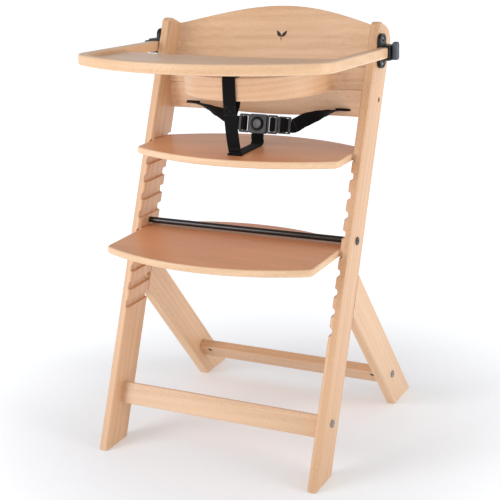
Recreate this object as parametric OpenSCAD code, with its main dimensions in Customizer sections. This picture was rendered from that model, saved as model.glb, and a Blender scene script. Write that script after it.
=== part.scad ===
// Wooden grow-along high chair: two leaning posts with board grooves, splayed rear legs,
// bent backrest, sliding seat and footrest, clamped tray, guard rail and lap harness.
// X runs across the chair, the child faces -Y, Z is up. Millimetres.

/* [Overall] */
// Width over the two posts
chair_w = 464; // [388:1:558]
// Height of the posts, to the front corner of their top
post_h = 803; // [670:1:965]
// Lean of the posts to the back, in degrees
post_lean = 23; // [19.5:0.5:26]
// Rake of the rear legs, in degrees from upright
leg_rake = 39.3; // [33:0.1:43]

/* [Posts and legs] */
// Width of a post, front to back
post_w = 68; // [58:1:82]
// Thickness of the posts and the legs
post_t = 19; // [16:0.5:23]
// Width of a rear leg
leg_w = 70; // [58:1:84]
// Height where the front edge of a leg meets its post
leg_joint_z = 274; // [230:1:328]
// Radius of the rounded inner front edge of a post
post_edge_r = 6; // [5:0.5:7]

/* [Grooves] */
// Number of board grooves in each post
groove_count = 10; // [7:1:10]
// Distance from one groove to the next
groove_pitch = 33; // [27.5:0.5:33.5]
// Drop from the top of the posts to the middle of the top groove
top_groove_drop = 238; // [199:1:262]
// Depth of a groove
groove_d = 7.4; // [6:0.1:8.8]
// Groove that holds the footrest, counted down from the seat's
footrest_groove = 5; // [3:1:6]

/* [Seat and footrest] */
// Thickness of the seat and the footrest
board_t = 14; // [11.5:0.5:17]
// Depth of the seat, front to back
seat_depth = 225; // [190:1:268]
// Depth of the footrest, front to back
footrest_depth = 281; // [236:1:330]
// Overhang of the seat in front of the posts
seat_overhang = 112; // [94:1:134]
// Overhang of the footrest in front of the posts
footrest_overhang = 170; // [142:1:200]

/* [Backrest and panel] */
// Length of the backrest down the posts
backrest_len = 110; // [92:1:128]
// Rise of the backrest's top in the middle
backrest_hump = 48; // [40:1:57]
// Thickness of the bent backrest
backrest_t = 10; // [8.5:0.5:12]
// Depth of the backrest's hollow
backrest_sag = 32; // [26:1:38]
// Height of the lower back panel
panel_h = 52; // [44:1:62]
// Thickness of the lower back panel
panel_t = 14; // [12:0.5:16.5]

/* [Guard rail] */
// Height of the guard rail's band
rail_h = 43; // [36:1:51]
// Thickness of the guard rail's band
rail_t = 14; // [12:0.5:16.5]
// Outer radius of the guard rail's bow
rail_r = 146; // [122:1:175]

/* [Tray] */
// Thickness of the tray board
tray_t = 20; // [17:0.5:24]
// Reach of the tray, from the middle of its clamps to its front edge
tray_reach = 372; // [330:1:446]
// Depth of the tray's board at its middle
tray_depth = 197; // [165:1:236]
// Rise of the tray to the front, in degrees
tray_tilt = 2.8; // [0:0.1:3.5]
// Drop from the top of the posts to the middle of the clamps
tray_drop = 58; // [52:1:66]
// Width of a tray arm
arm_w = 19.4; // [16.5:0.1:23]

/* [Cross bars] */
// Height of a stretcher's board
stretcher_h = 42; // [36:1:50]
// Thickness of a stretcher's board
stretcher_t = 19; // [16:0.5:23]
// Diameter of the tie tube over the footrest
tube_d = 12; // [10:0.5:14]

/* [Harness] */
// Width of the webbing
web_w = 26.5; // [22:0.5:31]
// Thickness of the webbing
web_t = 1.6; // [1.3:0.1:1.9]
// Width of the buckle's housing
buckle_w = 37; // [34:1:44]

/* [Hidden] */
$fn = 48;
slack = 0.05;        // radial play of pins, bolts and dowels in their holes
slide_gap = 0.3;     // play of boards and arms that slide
inner_x = chair_w / 2 - post_t;
outer_x = chair_w / 2;
post_len = post_h / cos(post_lean);
post_depth = post_w / cos(post_lean);     // front to back at one height
leg_foot_y = leg_joint_z * tan(post_lean) + post_depth + leg_joint_z * tan(leg_rake);
leg_depth = leg_w / cos(leg_rake);
clamp_z = post_h - tray_drop;
clamp_u = 25.5;                           // clamp's middle behind the post's front edge, level
clamp_y = clamp_z * tan(post_lean) + clamp_u - 3.8;
tray_front_y = clamp_y - tray_reach * cos(tray_tilt) - tray_t / 2 * sin(tray_tilt);
y_mid = (leg_foot_y + leg_depth + tray_front_y) / 2;

// posts
post_top_front_r = 12;
post_top_rear_r = 28;
post_back_r = 3;
top_groove_z = post_h - top_groove_drop;
groove_h = board_t + 2 * slide_gap;
groove_r = 4.5;

// fasteners
bolt_d = 6;
bolt_head_d = 15;
bolt_head_h = 2.2;
bolt_len = 46;       // under the head
hex_key = 4.6;
barrel_d = 10;
barrel_len = 15;
dowel_d = 8;
dowel_in_post = 12;
dowel_len = 32;
wood_screw_d = 4;
stretcher_gap_t = 97;                     // post length below the front stretcher
bar_gap_t = 38;                           // leg length below the rear stretcher
bolt_up = 9;                              // bolts above a stretcher's middle
dowel_down = 11;                          // dowels below a stretcher's middle
stretcher_u = (post_w - stretcher_t) / 2;
bar_u = (leg_w - stretcher_t) / 2;
front_mid_t = stretcher_gap_t + stretcher_h / 2;
rear_mid_t = bar_gap_t + stretcher_h / 2;
leg_dowel_len = 44;
leg_dowel_d = 10;

// seat and footrest outlines
board_front_r = 467;
board_rear_r = 425;
board_corner_r = 14;

// backrest, in the leaning frame of the posts
backrest_end_u = post_w - 27;             // front face at the posts
backrest_r = (inner_x * inner_x + backrest_sag * backrest_sag) / (2 * backrest_sag);
backrest_end_t = post_len - 1;
backrest_low_t = post_len - backrest_len;
backrest_screw_t = [post_len - 34, post_len - 58];
backrest_screw_u = backrest_end_u + backrest_t * 0.73;
screw_grip = 17;                          // length of wood screws in an end

// guard rail and lower panel, upright
backrest_end_z = backrest_low_t * cos(post_lean) - backrest_end_u * sin(post_lean);
backrest_end_y = backrest_low_t * sin(post_lean) + backrest_end_u * cos(post_lean);
rail_z = backrest_end_z - 10.8;           // underside of the rail
flange_y = backrest_end_y - 0.7 - rail_t; // front of the rail's flanges
rail_fillet = 21;
flange_min = 24;                          // least width of a flange, for its dowels
bow_r = min(rail_r, inner_x - rail_fillet - flange_min);
rail_y = flange_y - rail_fillet;          // middle of the bow's circle
flange_x = bow_r + rail_fillet;
panel_y = flange_y + 3;                   // front of the panel's ends
panel_top = rail_z;
panel_dip = 7;
panel_sag = 16;
slot_x = inner_x - 51;
panel_bend_x = slot_x - 12;               // the bend ends beside the slots
slot_z = rail_z - 39;
slot_w = web_w + 4;
slot_h = web_t + 2.6;
panel_bolt_z = rail_z - 18;
panel_bolt_y = panel_y + panel_t / 2;
panel_screw_grip = 24;
rail_dowel_d = 6;
rail_dowel_len = 30;
rail_dowel_y = panel_y + 5.5;
rail_dowel_x = [for (k = [0.15, 0.7]) flange_x + k * (inner_x - flange_x)];

// tray and clamps, in the tray's tilted frame
arm_in = outer_x + 1.6;
arm_out = arm_in + arm_w;
arm_end = 27;
tray_front_r = 400;
tray_corner_r = 50;
tray_rear_r = 920;
arm_fillet = 25;
rim_w = 14;
recess = 8;
bracket_wall = 4;
bracket_len = 31;
flange_top = 34;
flange_low = 29.5;
flange_plate = 7;
bracket_out = arm_out + slide_gap + bracket_wall;
clamp_screw_z = [25, -20.5];
clamp_screw_in = 12;
knob_gap = 0.8;
knob_rise = 3;
knob_turn_left = 90;   // the left knob rests turned across
knob_t = 9.5;
knob_long = 33;
knob_wide = 15.5;
stud_d = 8;

// tie tube
tube_u = post_w / 2;
tube_z = top_groove_z - footrest_groove * groove_pitch + board_t / 2 + tube_d / 2 + 2;
tube_y = (tube_u + tube_z * sin(post_lean)) / cos(post_lean);

// harness
strap_x = 10.5;
buckle_x = 9.5;
buckle_y = rail_y - 30;
buckle_z = top_groove_z + 46;
buckle_tilt = 15;
buckle_t = 13;
buckle_h = 37;
tongue_t = 3;
tongue_tall = 18;
tongue_in = 11;
loop_w = 22;
loop_t = 6;
button_d = 17;
button_travel = 1.6;
loop_x = buckle_w / 2 + 0.3;
adjuster_x = loop_x + loop_w + 1.2;
adjuster_w = 26;
adjuster_h = 33;

// ---------- shared shapes ----------

// Points of an arc from angle a0 to a1
function arc(c, r, a0, a1, n = 10) = [for (i = [0:n]) let (a = a0 + (a1 - a0) * i / n)
    [c[0] + r * cos(a), c[1] + r * sin(a)]];

// The mirror image of a list of points, in reverse order
function mirrored(pts) = [for (i = [len(pts) - 1:-1:0]) [-pts[i][0], pts[i][1]]];

// Chair frame: its own origin is under the posts' front edges
module in_chair() {
    translate([0, -y_mid, 0]) children();
}

// Post frame: Y runs across a post from its front edge, Z runs up along it
module in_post() {
    in_chair() rotate([-post_lean, 0, 0]) children();
}

// Leg frame: Y runs across a leg from its front edge, Z runs up along it
module in_leg() {
    in_chair() translate([0, leg_foot_y, 0]) rotate([leg_rake, 0, 0]) children();
}

// Tray frame: origin between the clamps, Y along the tray's arms
module in_tray() {
    in_chair() translate([0, clamp_y, clamp_z]) rotate([-tray_tilt, 0, 0]) children();
}

// A copy on the right, or on the left for side = -1
module on_side(side) {
    mirror([side < 0 ? 1 : 0, 0, 0]) children();
}

// An outline in the Y-Z plane, drawn out along X from x0
module along_x(x0, w) {
    translate([x0, 0, 0]) rotate([90, 0, 90]) linear_extrude(w) children();
}

// A round bar along X from x0 to x1
module bar_x(x0, x1, d) {
    translate([min(x0, x1), 0, 0]) rotate([0, 90, 0]) cylinder(h = abs(x1 - x0), d = d);
}

// A rectangle with rounded corners, from its middle
module round_rect(w, h, r) {
    polygon(concat(arc([w / 2 - r, h / 2 - r], r, 0, 90), arc([r - w / 2, h / 2 - r], r, 90, 180),
        arc([r - w / 2, r - h / 2], r, 180, 270), arc([w / 2 - r, r - h / 2], r, 270, 360)));
}

// Furniture bolt along -X, with its head's underside at x = 0
module bolt(len) {
    difference() {
        union() {
            bar_x(0, bolt_head_h, bolt_head_d);
            bar_x(-len, 0, bolt_d);
        }
        translate([bolt_head_h - 1.6, 0, 0]) rotate([0, 90, 0])
            cylinder(h = 3, d = hex_key, $fn = 6);
    }
}

// Round-headed wood screw along -X, with its head's underside at x = 0
module wood_screw(len, head = 8) {
    difference() {
        union() {
            intersection() {
                translate([-head * 0.22, 0, 0]) rotate([0, 90, 0]) sphere(d = head * 1.1);
                bar_x(0, head, head);
            }
            bar_x(-len, 0, wood_screw_d);
        }
        translate([head * 0.22, 0, 0]) {
            cube([head * 0.3, head * 0.55, 1], center = true);
            cube([head * 0.3, 1, head * 0.55], center = true);
        }
    }
}

// Flat webbing through stations of [point, direction of its width]
module webbing(stations, w = web_w, t = web_t) {
    n = len(stations);
    run = [for (i = [0:n - 1]) let (d = stations[min(i + 1, n - 1)][0] - stations[max(i - 1, 0)][0])
        d / norm(d)];
    ring = [for (i = [0:n - 1]) let (up = cross(run[i], stations[i][1]), across = cross(up, run[i]) / norm(up))
        for (c = [[-1, -1], [1, -1], [1, 1], [-1, 1]])
            stations[i][0] + across * w / 2 * c[0] + up / norm(up) * t / 2 * c[1]];
    sides = [for (i = [0:n - 2], k = [0:3]) let (a = 4 * i + k, b = 4 * i + (k + 1) % 4)
        each [[a, a + 4, b + 4], [a, b + 4, b]]];
    last = 4 * (n - 1);
    polyhedron(ring, concat(sides, [[0, 1, 2], [0, 2, 3], [last + 2, last + 1, last],
        [last + 3, last + 2, last]]));
}

// ---------- posts and legs ----------

module post_outline() {
    polygon(concat([[0, -post_w], [post_w, -post_w]],
        arc([post_w - post_top_rear_r, post_len - post_top_rear_r], post_top_rear_r, 0, 90),
        arc([post_top_front_r, post_len - post_top_front_r], post_top_front_r, 90, 180)));
}

module post_section() {
    polygon(concat(arc([inner_x + post_edge_r, post_edge_r], post_edge_r, 180, 270, 6),
        arc([outer_x - post_back_r, post_back_r], post_back_r, 270, 360, 3),
        arc([outer_x - post_back_r, post_w - post_back_r], post_back_r, 0, 90, 3),
        arc([inner_x + post_back_r, post_w - post_back_r], post_back_r, 90, 180, 3)));
}

// Section of a groove or of the tongue in it, from x = -back to x = deep, in the X-Z plane
module groove_section(back, deep, h) {
    polygon(concat([[-back, h / 2], [-back, -h / 2]],
        arc([deep - groove_r, groove_r - h / 2], groove_r, 270, 360, 6),
        arc([deep - groove_r, h / 2 - groove_r], groove_r, 0, 90, 6)));
}

// A bar of that section along Y, from y0 to y1, its back at x = 0
module groove_bar(back, deep, h, y0, y1) {
    translate([0, y1, 0]) rotate([90, 0, 0]) linear_extrude(y1 - y0) groove_section(back, deep, h);
}

module grooves() {
    for (i = [0:groove_count - 1])
        translate([inner_x, 0, top_groove_z - i * groove_pitch])
            groove_bar(1, groove_d, groove_h, -post_w, 2 * post_h);
}

// Holes of the post, all along X
module post_holes() {
    in_post() {
        translate([0, post_w / 2, front_mid_t + bolt_up]) bar_x(inner_x - 1, outer_x + 1, bolt_d + 2 * slack);
        translate([0, post_w / 2, front_mid_t - dowel_down])
            bar_x(inner_x - 1, inner_x + dowel_in_post, dowel_d + 2 * slack);
        for (t = backrest_screw_t) translate([0, backrest_screw_u, t]) {
            bar_x(inner_x - 1, outer_x + 1, wood_screw_d + 2 * slack);
            bar_x(outer_x - 5, outer_x + 1, 10);
        }
    }
    in_chair() {
        translate([0, tube_y, tube_z]) bar_x(inner_x - 1, outer_x + 1, bolt_d + 2 * slack);
        translate([0, panel_bolt_y, panel_bolt_z]) {
            bar_x(inner_x - 1, outer_x + 1, wood_screw_d + 2 * slack);
            bar_x(outer_x - 8, outer_x + 1, 10);
        }
    }
    in_tray() for (z = clamp_screw_z)
        translate([0, 0, z]) bar_x(outer_x - clamp_screw_in, outer_x + 1, wood_screw_d + 2 * slack);
    leg_dowel_pair(slack);
}

module post(side) {
    on_side(side) difference() {
        intersection() {
            in_post() along_x(inner_x - 1, post_t + 2) post_outline();
            in_post() translate([0, 0, -post_w]) linear_extrude(post_len + 2 * post_w) post_section();
            translate([0, -2 * post_h, 0]) cube([chair_w, 4 * post_h, 2 * post_h]);
        }
        in_chair() grooves();
        post_holes();
    }
}

// Middle of the joint between a post and its leg, and half the joint's length
joint_low = [leg_joint_z * tan(post_lean) + post_depth, leg_joint_z];
joint_len = leg_w / sin(post_lean + leg_rake);
joint_up = [sin(post_lean), cos(post_lean)];

module leg_dowel_pair(play = 0) {
    for (k = [0.3, 0.7]) let (p = joint_low + joint_up * joint_len * k)
        in_chair() translate([inner_x + post_t / 2, p[0], p[1]]) rotate([leg_rake, 0, 0])
            translate([0, 0, -leg_dowel_len / 2 - play]) cylinder(h = leg_dowel_len + 2 * play,
                d = leg_dowel_d + 2 * play);
}

module rear_leg(side) {
    joint_high = joint_low + joint_up * joint_len;
    on_side(side) difference() {
        in_chair() along_x(inner_x, post_t) polygon([[leg_foot_y, 0], [leg_foot_y + leg_depth, 0],
            joint_high, joint_low]);
        in_leg() {
            translate([0, leg_w / 2, rear_mid_t + bolt_up])
                bar_x(inner_x - 1, outer_x + 1, bolt_d + 2 * slack);
            translate([0, leg_w / 2, rear_mid_t - dowel_down])
                bar_x(inner_x - 1, inner_x + dowel_in_post, dowel_d + 2 * slack);
        }
        leg_dowel_pair(slack);
    }
}

module post_left() { color("burlywood") post(-1); }
module post_right() { color("burlywood") post(1); }
module rear_leg_left() { color("burlywood") rear_leg(-1); }
module rear_leg_right() { color("burlywood") rear_leg(1); }
module leg_dowels() { color("tan") for (s = [-1, 1]) on_side(s) leg_dowel_pair(); }

// ---------- stretchers ----------

// A board between the posts or the legs, its front face at Y = 0 and its underside at Z = 0
module stretcher(barrel_from_back) {
    mid = stretcher_h / 2;
    difference() {
        translate([-inner_x, 0, 0]) cube([2 * inner_x, stretcher_t, stretcher_h]);
        for (s = [-1, 1]) on_side(s) {
            translate([0, stretcher_t / 2, mid + bolt_up])
                bar_x(inner_x + 1, inner_x - bolt_len + post_t - 2, bolt_d + 2 * slack);
            translate([0, stretcher_t / 2, mid - dowel_down])
                bar_x(inner_x + 1, inner_x - dowel_len + dowel_in_post, dowel_d + 2 * slack);
            translate([inner_x - barrel_in, barrel_from_back ? stretcher_t + 1 : stretcher_t - 1.5, mid + bolt_up])
                rotate([90, 0, 0]) cylinder(h = stretcher_t - 0.5, d = barrel_d + 2 * slack);
        }
    }
}
barrel_in = 22;

// What holds a stretcher: side bolts, barrel nuts and dowels
module stretcher_bolt_pair() {
    for (s = [-1, 1]) on_side(s)
        translate([outer_x, stretcher_t / 2, stretcher_h / 2 + bolt_up]) bolt(bolt_len);
}

module barrel_pair(barrel_from_back) {
    for (s = [-1, 1]) on_side(s) translate([inner_x - barrel_in, 0, stretcher_h / 2 + bolt_up]) difference() {
        translate([0, barrel_from_back ? stretcher_t - 0.5 : barrel_len + 0.5, 0])
            rotate([90, 0, 0]) cylinder(h = barrel_len, d = barrel_d);
        translate([0, stretcher_t / 2, 0]) bar_x(-barrel_d, barrel_d, bolt_d + 2 * slack);
    }
}

module dowel_pair() {
    for (s = [-1, 1]) on_side(s) translate([0, stretcher_t / 2, stretcher_h / 2 - dowel_down])
        bar_x(inner_x - dowel_len + dowel_in_post + 0.5, inner_x + dowel_in_post - 0.5, dowel_d);
}

module at_front_stretcher() { in_post() translate([0, stretcher_u, stretcher_gap_t]) children(); }
module at_rear_stretcher() { in_leg() translate([0, bar_u, bar_gap_t]) children(); }

module front_stretcher() { color("burlywood") at_front_stretcher() stretcher(true); }
module rear_stretcher() { color("burlywood") at_rear_stretcher() stretcher(false); }
module stretcher_bolts() {
    color("silver") {
        at_front_stretcher() stretcher_bolt_pair();
        at_rear_stretcher() stretcher_bolt_pair();
    }
}
module barrel_nuts() {
    color("silver") {
        at_front_stretcher() barrel_pair(true);
        at_rear_stretcher() barrel_pair(false);
    }
}
module stretcher_dowels() {
    color("tan") {
        at_front_stretcher() dowel_pair();
        at_rear_stretcher() dowel_pair();
    }
}

// ---------- backrest ----------

function hump(x) = backrest_end_t + backrest_hump * cos(90 * x / inner_x);

module backrest() {
    steps = 28;
    color("burlywood") in_post() difference() {
        intersection() {
            translate([0, backrest_end_u + backrest_sag - backrest_r, 0]) linear_extrude(2 * post_len)
                difference() {
                    circle(r = backrest_r + backrest_t, $fn = 360);
                    circle(r = backrest_r, $fn = 360);
                }
            translate([0, 2 * post_w, 0]) rotate([90, 0, 0]) linear_extrude(3 * post_w)
                polygon(concat([[inner_x, backrest_low_t]],
                    [for (i = [steps:-1:0]) let (x = inner_x * (2 * i / steps - 1)) [x, hump(x)]],
                    [[-inner_x, backrest_low_t]]));
        }
        for (s = [-1, 1], t = backrest_screw_t) on_side(s) translate([0, backrest_screw_u, t])
            bar_x(inner_x + 1, inner_x - screw_grip, wood_screw_d + 2 * slack);
    }
}

module backrest_screws() {
    color("silver") in_post() for (s = [-1, 1], t = backrest_screw_t)
        on_side(s) translate([outer_x - 5, backrest_screw_u, t])
            wood_screw(post_t - 5 + screw_grip - 0.5);
}

// ---------- lower back panel and guard rail ----------

// How far the panel is bent back and cut down at x
function panel_bend(x) = abs(x) < panel_bend_x ? pow(cos(90 * x / panel_bend_x), 2) : 0;

module lower_back_panel() {
    steps = 36;
    xs = [for (i = [0:steps]) inner_x * (2 * i / steps - 1)];
    color("burlywood") in_chair() difference() {
        intersection() {
            linear_extrude(post_h) polygon(concat(
                [for (x = xs) [x, panel_y + panel_sag * panel_bend(x)]],
                [for (i = [steps:-1:0]) [xs[i], panel_y + panel_t + panel_sag * panel_bend(xs[i])]]));
            translate([0, post_h, 0]) rotate([90, 0, 0]) linear_extrude(post_h) polygon(concat(
                [for (x = xs) [x, panel_top - panel_h - panel_dip * panel_bend(x)]],
                [for (i = [steps:-1:0]) [xs[i], panel_top - panel_dip * panel_bend(xs[i])]]));
        }
        for (s = [-1, 1]) on_side(s) {
            translate([slot_x - slot_w / 2, 0, slot_z - slot_h / 2]) cube([slot_w, post_h, slot_h]);
            translate([0, panel_bolt_y, panel_bolt_z])
                bar_x(inner_x + 1, inner_x - panel_screw_grip, wood_screw_d + 2 * slack);
            for (x = rail_dowel_x) translate([x, rail_dowel_y, rail_z - rail_dowel_len / 2])
                cylinder(h = rail_dowel_len, d = rail_dowel_d + 2 * slack);
        }
    }
}

module panel_screws() {
    color("silver") in_chair() for (s = [-1, 1]) on_side(s)
        translate([outer_x - 8, panel_bolt_y, panel_bolt_z])
            wood_screw(post_t - 8 + panel_screw_grip - 0.5);
}

// Half of the rail's outline: a quarter of the bow, its turn outwards and its flange
module rail_half() {
    intersection() {
        difference() {
            circle(r = bow_r, $fn = 180);
            circle(r = bow_r - rail_t, $fn = 180);
        }
        translate([0, -bow_r]) square(bow_r);
    }
    translate([flange_x, 0]) intersection() {
        difference() {
            circle(r = rail_fillet + rail_t, $fn = 72);
            circle(r = rail_fillet, $fn = 72);
        }
        translate([-bow_r, 0]) square(bow_r);
    }
    translate([flange_x, rail_fillet]) square([inner_x - flange_x, rail_t]);
}

module guard_rail() {
    color("burlywood") in_chair() translate([0, rail_y, rail_z]) difference() {
        linear_extrude(rail_h) for (s = [-1, 1]) on_side(s) rail_half();
        for (s = [-1, 1], x = rail_dowel_x) translate([s * x, rail_dowel_y - rail_y, -1])
            cylinder(h = rail_dowel_len / 2 + 1, d = rail_dowel_d + 2 * slack);
    }
}

module rail_dowels() {
    color("tan") in_chair() for (s = [-1, 1], x = rail_dowel_x)
        translate([s * x, rail_dowel_y, rail_z - rail_dowel_len / 2 + 0.5])
            cylinder(h = rail_dowel_len - 1, d = rail_dowel_d);
}

// ---------- seat and footrest ----------

// Outline of a board: bowed front and back, straight sides; its front middle is at the origin
module board_outline(depth) {
    half = inner_x - slide_gap;
    r = board_corner_r;
    front_c = board_front_r;
    rear_c = depth - board_rear_r;
    front_a = asin((half - r) / (board_front_r - r));
    rear_a = asin((half - r) / (board_rear_r - r));
    front_corner = [half - r, front_c - (board_front_r - r) * cos(front_a)];
    rear_corner = [half - r, rear_c + (board_rear_r - r) * cos(rear_a)];
    right = concat(arc([0, front_c], board_front_r, -90, front_a - 90, 12),
        arc(front_corner, r, front_a - 90, 0, 6), arc(rear_corner, r, 0, 90 - rear_a, 6),
        arc([0, rear_c], board_rear_r, 90 - rear_a, 90, 12));
    polygon(concat(right, mirrored(right)));
}

// A board at height z, reaching overhang in front of the posts, with its groove tongues
module sliding_board(z, depth, overhang) {
    post_front = z * tan(post_lean);
    tongue_from = post_front + 7;
    tongue_to = post_front - overhang + depth - board_rear_sag;
    in_chair() {
        translate([0, post_front - overhang, z - board_t / 2]) linear_extrude(board_t) board_outline(depth);
        for (s = [-1, 1]) on_side(s) translate([inner_x - slide_gap, 0, z])
            groove_bar(4, groove_d, board_t, tongue_from, tongue_to);
    }
}
board_rear_sag = 68;

module seat_plate() {
    color("burlywood") sliding_board(top_groove_z, seat_depth, seat_overhang);
}

module footrest_plate() {
    color("burlywood") sliding_board(top_groove_z - footrest_groove * groove_pitch,
        footrest_depth, footrest_overhang);
}

// ---------- tie tube ----------

module tie_tube() {
    color("black") in_chair() translate([0, tube_y, tube_z]) difference() {
        bar_x(-inner_x, inner_x, tube_d);
        bar_x(-inner_x - 1, inner_x + 1, bolt_d + 2 * slack);
    }
}

module tie_bolts() {
    color("black") in_chair() for (s = [-1, 1]) on_side(s)
        translate([outer_x, tube_y, tube_z]) bolt(bolt_len);
}

// ---------- tray ----------

// Outline of the tray's bowed front and its corners, half width w, inset from the front edge
function tray_front(w, inset) = let (r = tray_corner_r - inset, big = tray_front_r - inset,
    c = [0, tray_front_r - tray_reach], a = asin((w - r) / (big - r)),
    corner = [w - r, c[1] - (big - r) * cos(a)])
    concat(arc(c, big, -90, a - 90, 14), arc(corner, r, a - 90, 0, 8));

module tray_outline() {
    rear = tray_depth - tray_reach;
    rear_c = rear + tray_rear_r;
    fillet_a = asin((arm_in - arm_fillet) / (tray_rear_r - arm_fillet));
    fillet_c = [arm_in - arm_fillet, rear_c - (tray_rear_r - arm_fillet) * cos(fillet_a)];
    right = concat(tray_front(arm_out, 0),
        arc([arm_out - 4, arm_end - 4], 4, 0, 90, 4), arc([arm_in + 4, arm_end - 4], 4, 90, 180, 4),
        arc(fillet_c, arm_fillet, 0, fillet_a - 90, 8), arc([0, rear_c], tray_rear_r, fillet_a - 90, -90, 10));
    polygon(concat(right, mirrored(right)));
}

module tray() {
    right = concat(tray_front(arm_in, rim_w), [[arm_in, arm_end + 1]]);
    color("burlywood") in_tray() difference() {
        translate([0, 0, -tray_t / 2]) linear_extrude(tray_t) tray_outline();
        translate([0, 0, tray_t / 2 - recess]) linear_extrude(tray_t)
            polygon(concat(right, mirrored(right)));
    }
}

// ---------- tray clamps ----------

module clamp_bracket(side) {
    in_tray() on_side(side) difference() {
        union() {
            along_x(outer_x, flange_plate) translate([0, (flange_top - flange_low) / 2])
                round_rect(bracket_len, flange_top + flange_low, 13);
            translate([outer_x, -bracket_len / 2, -tray_t / 2 - slide_gap / 2 - bracket_wall])
                cube([bracket_out - outer_x, bracket_len, tray_t + slide_gap + 2 * bracket_wall]);
        }
        translate([outer_x - 1, -bracket_len, -tray_t / 2 - slide_gap / 2])
            cube([arm_out + slide_gap - outer_x + 1, 2 * bracket_len, tray_t + slide_gap]);
        for (z = clamp_screw_z) translate([0, 0, z]) {
            bar_x(outer_x - 1, outer_x + flange_plate + 1, wood_screw_d + 2 * slack);
            bar_x(outer_x + flange_plate - 2, outer_x + flange_plate + 1, 10);
        }
        translate([0, 0, knob_rise]) bar_x(arm_out, bracket_out + 1, stud_d + 2 * slack);
    }
}

module clamp_screws() {
    color("silver") in_tray() for (s = [-1, 1], z = clamp_screw_z)
        on_side(s) translate([outer_x + flange_plate - 2, 0, z])
            wood_screw(flange_plate - 2 + clamp_screw_in - 0.5);
}

// Winged knob with a round hub, its stud screwed in from the clamp's side
module clamp_knob(side, turn = 0) {
    x0 = bracket_out + knob_gap;
    in_tray() on_side(side) translate([0, 0, knob_rise]) rotate([turn, 0, 0]) difference() {
        union() {
            bar_x(x0, x0 + 3, knob_wide);
            along_x(x0 + 2, knob_t - 2) round_rect(knob_wide, knob_long, knob_wide / 2 - 0.5);
        }
        bar_x(x0 - 1, x0 + knob_t - 3, stud_d);
    }
}

module knob_stud(side) {
    in_tray() on_side(side) translate([0, 0, knob_rise]) bar_x(arm_out + slide_gap - 0.1, bracket_out + knob_gap + knob_t - 3, stud_d);
}

module clamp_bracket_left() { color("dimgray") clamp_bracket(-1); }
module clamp_bracket_right() { color("dimgray") clamp_bracket(1); }
module clamp_knob_left() { color("slategray") clamp_knob(-1, knob_turn_left); }
module clamp_knob_right() { color("slategray") clamp_knob(1); }
module knob_stud_left() { color("silver") knob_stud(-1); }
module knob_stud_right() { color("silver") knob_stud(1); }

// ---------- harness ----------

web_gap = 0.5 + web_t / 2;                       // middle of webbing over a face
seat_top = top_groove_z + board_t / 2;
rail_front = rail_y - bow_r;
rail_in_r = bow_r - rail_t;
rail_back = rail_y - sqrt(pow(rail_in_r, 2) - pow(strap_x + web_w / 2, 2));   // inner face beside the strap
rail_top = rail_z + rail_h;

// Buckle frame: origin in the middle of the housing, Y to its back
module in_buckle() {
    in_chair() translate([buckle_x, buckle_y, buckle_z]) rotate([-buckle_tilt, 0, 0]) children();
}

// A point of the buckle frame, in the chair frame
function from_buckle(p) = [buckle_x + p[0],
    buckle_y + p[1] * cos(buckle_tilt) + p[2] * sin(buckle_tilt),
    buckle_z - p[1] * sin(buckle_tilt) + p[2] * cos(buckle_tilt)];

// Webbing that runs in the middle plane of the chair, through [y, z] points
module plane_webbing(yz) {
    in_chair() webbing([for (p = yz) [[p[2] == undef ? strap_x : p[2], p[0], p[1]], [1, 0, 0]]]);
}

// The strap that loops over the guard rail and runs down to the seat
module crotch_strap_front() {
    color("black") plane_webbing([
        [rail_front + 1.4, rail_z - 30], [rail_front + 2, rail_z - 24], [rail_back - 2, rail_z - 10],
        [rail_back + web_gap, rail_z], [rail_back + web_gap, rail_top + 0.3],
        [rail_back + 0.3, rail_top + web_gap], [rail_front - 0.3, rail_top + web_gap],
        [rail_front - web_gap, rail_top + 0.3], [rail_front - web_gap, rail_z],
        [rail_front + 1, seat_top + 66], [rail_front + 5, seat_top + 36],
        [rail_front + 10, seat_top + 14], [rail_front + 13, seat_top + 4]]);
}

// The strap that lies on the seat and rises to the buckle
module crotch_strap_rear() {
    end = from_buckle([0, 0, -buckle_h / 2 - 0.3]);
    low = from_buckle([0, 0, -buckle_h / 2 - 6]);
    start = rail_front + 15;
    color("black") plane_webbing([
        [start, seat_top + web_gap], [start + 25, seat_top + web_gap],
        [low[1] - 10, seat_top + web_gap], [low[1] - 4, seat_top + web_gap + 1.5],
        [low[1] - 1, seat_top + web_gap + 6], [low[1], low[2], low[0]], [end[1], end[2], end[0]]]);
}

// A lap belt from its tongue to its slot in the lower back panel, and through it
module lap_belt(side) {
    end = from_buckle([side * (side > 0 ? adjuster_x + adjuster_w + 0.4 : loop_x + loop_w + 0.4), 0, 0]);
    slot = [side * slot_x, panel_y, slot_z];
    up = [0, sin(buckle_tilt), cos(buckle_tilt)];
    out = slot - end;
    color("black") in_chair() webbing([
        [end, up],
        [end + [side * 5, 0, 0], up],
        [end + [out[0] * 0.27, out[1] * 0.22, out[2] * 0.40], [0, 0.25, 1]],
        [end + [out[0] * 0.56, out[1] * 0.43, out[2] * 0.74], [side * 0.1, 0.2, 1]],
        [end + [out[0] * 0.78, out[1] * 0.62, out[2] * 0.93], [side * 0.35, 0.2, 0.9]],
        [end + [out[0] * 0.91, out[1] * 0.76, out[2] * 1.0], [side * 0.8, 0.1, 0.5]],
        [slot + [-side * 1.5, -9, 0], [side, 0, 0]],
        [slot + [0, -2, 0], [side, 0, 0]],
        [slot + [0, panel_t + 1, 0], [side, 0, 0]]]);
}

// Folded and stitched ends of the lap belts behind the panel, too thick for the slots
module belt_stops() {
    color("black") in_chair() for (s = [-1, 1])
        translate([s * slot_x, panel_y + panel_t + 5.5, slot_z])
            cube([web_w, 8, 3 * web_t + slot_h], center = true);
}

module lap_belt_left() { lap_belt(-1); }
module lap_belt_right() { lap_belt(1); }

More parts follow.
